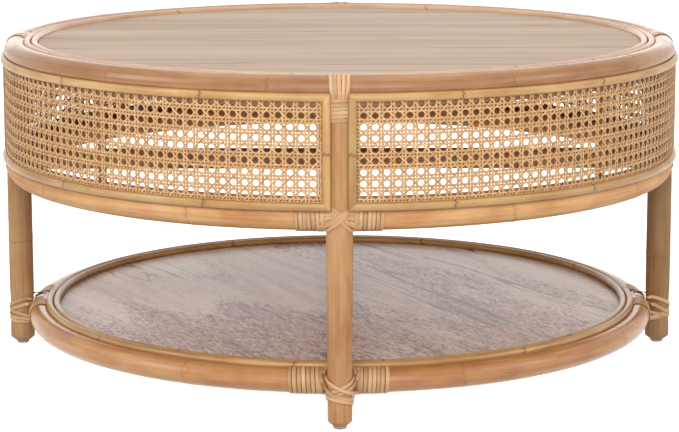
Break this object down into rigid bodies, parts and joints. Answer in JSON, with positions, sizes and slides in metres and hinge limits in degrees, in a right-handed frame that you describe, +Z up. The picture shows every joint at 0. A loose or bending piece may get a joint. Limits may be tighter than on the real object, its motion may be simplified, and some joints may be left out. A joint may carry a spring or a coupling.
{
  "type": "coffee table",
  "caption": "Round two-tier coffee table of rattan poles, with a cane webbing apron, a recessed wood top and a wood shelf.",
  "frame": {"origin": "on the floor, under the centre of the round top", "axes": "+Z up; -Y towards the front leg, +X towards the right leg"},
  "size_m": [0.8994, 0.8994, 0.4236],
  "materials": {
    "rattan_pole": "smooth peeled rattan pole, satin clear lacquer",
    "split_rattan": "honey-yellow split rattan with skin, satin",
    "rattan_peel": "flat rattan peel, satin clear lacquer",
    "cane_webbing": "natural woven cane, satin",
    "top_wood": "greyed hardwood, straight fine grain, satin",
    "shelf_wood": "whitewashed hardwood with reddish streaks, satin",
    "hidden_wood": "bare planed hardwood",
    "glide_plastic": "matt off-white plastic",
    "screw_steel": "zinc-plated steel"
  },
  "bodies": {
    "root": {"top_panel": "top_wood", "top_batten_left": "hidden_wood", "top_batten_right": "hidden_wood", "top_ring_front": "rattan_pole", "top_ring_right": "rattan_pole", "top_ring_back": "rattan_pole", "top_strip_outer": "split_rattan", "top_strip_inner": "split_rattan", "leg_front": "rattan_pole", "leg_right": "rattan_pole", "leg_back": "rattan_pole", "leg_left": "rattan_pole", "glides": "glide_plastic", "cane_back_right": "cane_webbing", "cane_back_left": "cane_webbing", "cane_front_left": "cane_webbing", "cane_front_right": "cane_webbing", "top_trim_back_right": "split_rattan", "top_trim_back_left": "split_rattan", "top_trim_front_left": "split_rattan", "top_trim_front_right": "split_rattan", "bottom_trim_back_right": "split_rattan", "bottom_trim_back_left": "split_rattan", "bottom_trim_front_left": "split_rattan", "bottom_trim_front_right": "split_rattan", "side_trims_front": "split_rattan", "side_trims_right": "split_rattan", "side_trims_back": "split_rattan", "side_trims_left": "split_rattan", "spindles": "rattan_pole", "apron_ring_back_right": "rattan_pole", "apron_ring_back_left": "rattan_pole", "apron_ring_front_left": "rattan_pole", "apron_ring_front_right": "rattan_pole", "cross_pole_long": "rattan_pole", "cross_pole_front": "rattan_pole", "cross_pole_back": "rattan_pole", "shelf_panel": "shelf_wood", "shelf_batten_left": "hidden_wood", "shelf_batten_right": "hidden_wood", "shelf_ring_front": "rattan_pole", "shelf_ring_back": "rattan_pole", "shelf_strip_outer": "split_rattan", "shelf_strip_inner": "split_rattan", "top_binding_front": "rattan_peel", "top_binding_right": "rattan_peel", "top_binding_back": "rattan_peel", "top_binding_left": "rattan_peel", "apron_binding_front": "rattan_peel", "apron_binding_right": "rattan_peel", "apron_binding_back": "rattan_peel", "apron_binding_left": "rattan_peel", "shelf_binding_front": "rattan_peel", "shelf_binding_right": "rattan_peel", "shelf_binding_back": "rattan_peel", "shelf_binding_left": "rattan_peel", "batten_screws": "screw_steel", "leg_screws": "screw_steel", "dowels": "hidden_wood"}
  },
  "joints": []
}
